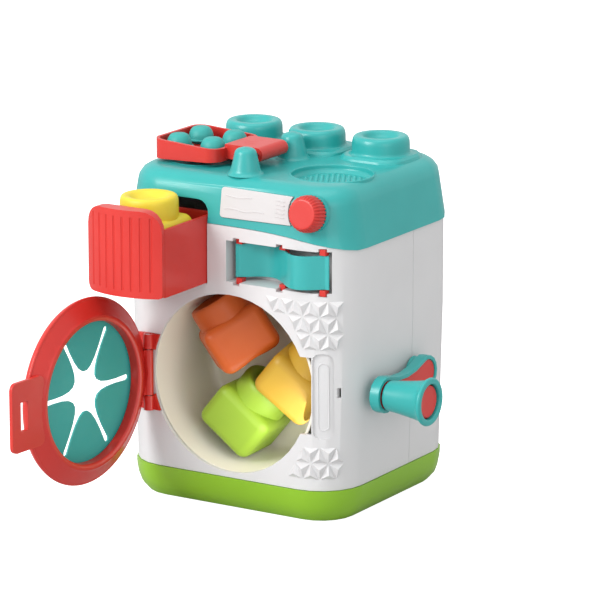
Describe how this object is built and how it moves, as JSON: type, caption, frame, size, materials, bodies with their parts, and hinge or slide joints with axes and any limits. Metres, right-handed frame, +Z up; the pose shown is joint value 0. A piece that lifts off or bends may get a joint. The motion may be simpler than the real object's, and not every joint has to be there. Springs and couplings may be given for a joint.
{
  "type": "toy washing machine",
  "caption": "Toy front-loading washing machine: round door, crank-driven drum with soft blocks, block drawer, dial, flip-over page on a teal top, lime base.",
  "frame": {"origin": "middle of the base's underside, on the surface that the toy stands on", "axes": "+Z up, -Y out of the front with the door, +X to the crank's side"},
  "size_m": [0.1985, 0.2739, 0.2179],
  "materials": {
    "white_shell": "moulded white plastic, satin",
    "white_plate": "smooth white plastic",
    "teal_plastic": "moulded teal plastic, satin",
    "red_plastic": "moulded red plastic, satin",
    "lime_plastic": "moulded lime green plastic, satin",
    "cream_plastic": "smooth cream plastic",
    "teal_rubber": "soft teal rubber, matt",
    "yellow_soft": "soft yellow vinyl, matt",
    "orange_soft": "soft orange vinyl, matt",
    "green_soft": "soft green vinyl, matt",
    "amber_soft": "soft amber vinyl, matt",
    "steel": "zinc-plated steel",
    "gear_plastic": "natural acetal"
  },
  "bodies": {
    "cabinet": {"front_shell": "white_shell", "back_shell": "white_shell", "base_tray": "lime_plastic", "base_screw_1": "steel", "base_screw_2": "steel", "base_screw_3": "steel", "base_screw_4": "steel", "shell_screw_1": "steel", "shell_screw_2": "steel", "shell_screw_3": "steel", "shell_screw_4": "steel", "top_cover": "teal_plastic", "display_plate": "white_plate", "wave_pin_left": "red_plastic", "wave_pin_right": "red_plastic", "wave_strip": "teal_rubber", "hinge_bracket": "red_plastic", "hinge_pin": "steel", "gear_frame": "gear_plastic", "crank_bush": "teal_plastic", "page_pin": "steel"},
    "door": {"door_ring": "red_plastic", "door_bezel": "red_plastic", "door_membrane": "teal_rubber"},
    "drawer": {"drawer_front": "red_plastic", "drawer_tray": "red_plastic"},
    "drawer_block": {"block_drawer": "yellow_soft"},
    "drum": {"drum": "cream_plastic", "crown_gear": "gear_plastic"},
    "crank": {"crank_shaft": "steel", "pinion": "gear_plastic", "crank_arm": "teal_plastic", "crank_inlay": "red_plastic", "handle_pin": "red_plastic"},
    "handle": {"handle_sleeve": "teal_plastic", "handle_cap": "red_plastic"},
    "knob": {"knob": "red_plastic", "knob_clip": "steel"},
    "wave_pin": {"wave_pin_centre": "red_plastic"},
    "page": {"page_frame": "red_plastic"},
    "dome_1": {"dome_1": "teal_rubber"},
    "dome_2": {"dome_2": "teal_rubber"},
    "dome_3": {"dome_3": "teal_rubber"},
    "dome_4": {"dome_4": "teal_rubber"},
    "orange_block": {"block_orange": "orange_soft"},
    "green_block": {"block_green": "green_soft"},
    "amber_block": {"block_yellow": "amber_soft"}
  },
  "joints": [
    {"name": "door_hinge", "type": "hinge", "parent": "cabinet", "child": "door", "pos_m": [-0.0545, -0.072, 0.078], "axis": [0, 0, -1], "range_deg": [-94, 16]},
    {"name": "drawer_slide", "type": "slide", "parent": "cabinet", "child": "drawer", "axis": [0, -1, 0], "range_m": [-0.044, 0], "deforming": ["block_drawer"]},
    {"name": "drawer_block_lift", "type": "slide", "parent": "drawer", "child": "drawer_block", "axis": [0, 0, 1], "range_m": [0, 0.1]},
    {"name": "drum_spin", "type": "hinge", "parent": "cabinet", "child": "drum", "pos_m": [0.002, 0, 0.078], "axis": [0, 1, 0], "continuous": true},
    {"name": "crank_turn", "type": "hinge", "parent": "cabinet", "child": "crank", "pos_m": [0, 0.013, 0.078], "axis": [1, 0, 0], "continuous": true},
    {"name": "handle_spin", "type": "hinge", "parent": "crank", "child": "handle", "pos_m": [0.1, -0.03443, 0.07551], "axis": [1, 0, 0], "continuous": true},
    {"name": "knob_turn", "type": "hinge", "parent": "cabinet", "child": "knob", "pos_m": [0.0568, -0.06754, 0.1875], "axis": [0, -0.9884, 0.1521], "range_deg": [-150, 150]},
    {"name": "wave_flip", "type": "hinge", "parent": "cabinet", "child": "wave_pin", "pos_m": [0.0367, -0.0645, 0.1528], "axis": [0, 0, 1], "range_deg": [0, 87], "deforming": ["wave_strip"]},
    {"name": "page_flip", "type": "hinge", "parent": "cabinet", "child": "page", "pos_m": [0.001, -0.024, 0.2107], "axis": [0, 1, 0], "range_deg": [0, 180]},
    {"name": "dome_1_push", "type": "slide", "parent": "page", "child": "dome_1", "axis": [0, 0, 1], "range_m": [-0.0014, 0]},
    {"name": "dome_2_push", "type": "slide", "parent": "page", "child": "dome_2", "axis": [0, 0, 1], "range_m": [-0.0014, 0]},
    {"name": "dome_3_push", "type": "slide", "parent": "page", "child": "dome_3", "axis": [0, 0, 1], "range_m": [-0.0014, 0]},
    {"name": "dome_4_push", "type": "slide", "parent": "page", "child": "dome_4", "axis": [0, 0, 1], "range_m": [-0.0014, 0]},
    {"name": "orange_block_out", "type": "slide", "parent": "drum", "child": "orange_block", "axis": [0.0697, -0.9951, -0.0697], "range_m": [0, 0.18]},
    {"name": "green_block_out", "type": "slide", "parent": "drum", "child": "green_block", "axis": [0.031, -0.9994, 0.013], "range_m": [0, 0.065]},
    {"name": "amber_block_out", "type": "slide", "parent": "drum", "child": "amber_block", "axis": [0, -1, 0], "range_m": [0, 0.12]}
  ],
  "couplings": [
    {"joint": "crank_turn", "follows": "drum_spin", "ratio": -3}
  ]
}
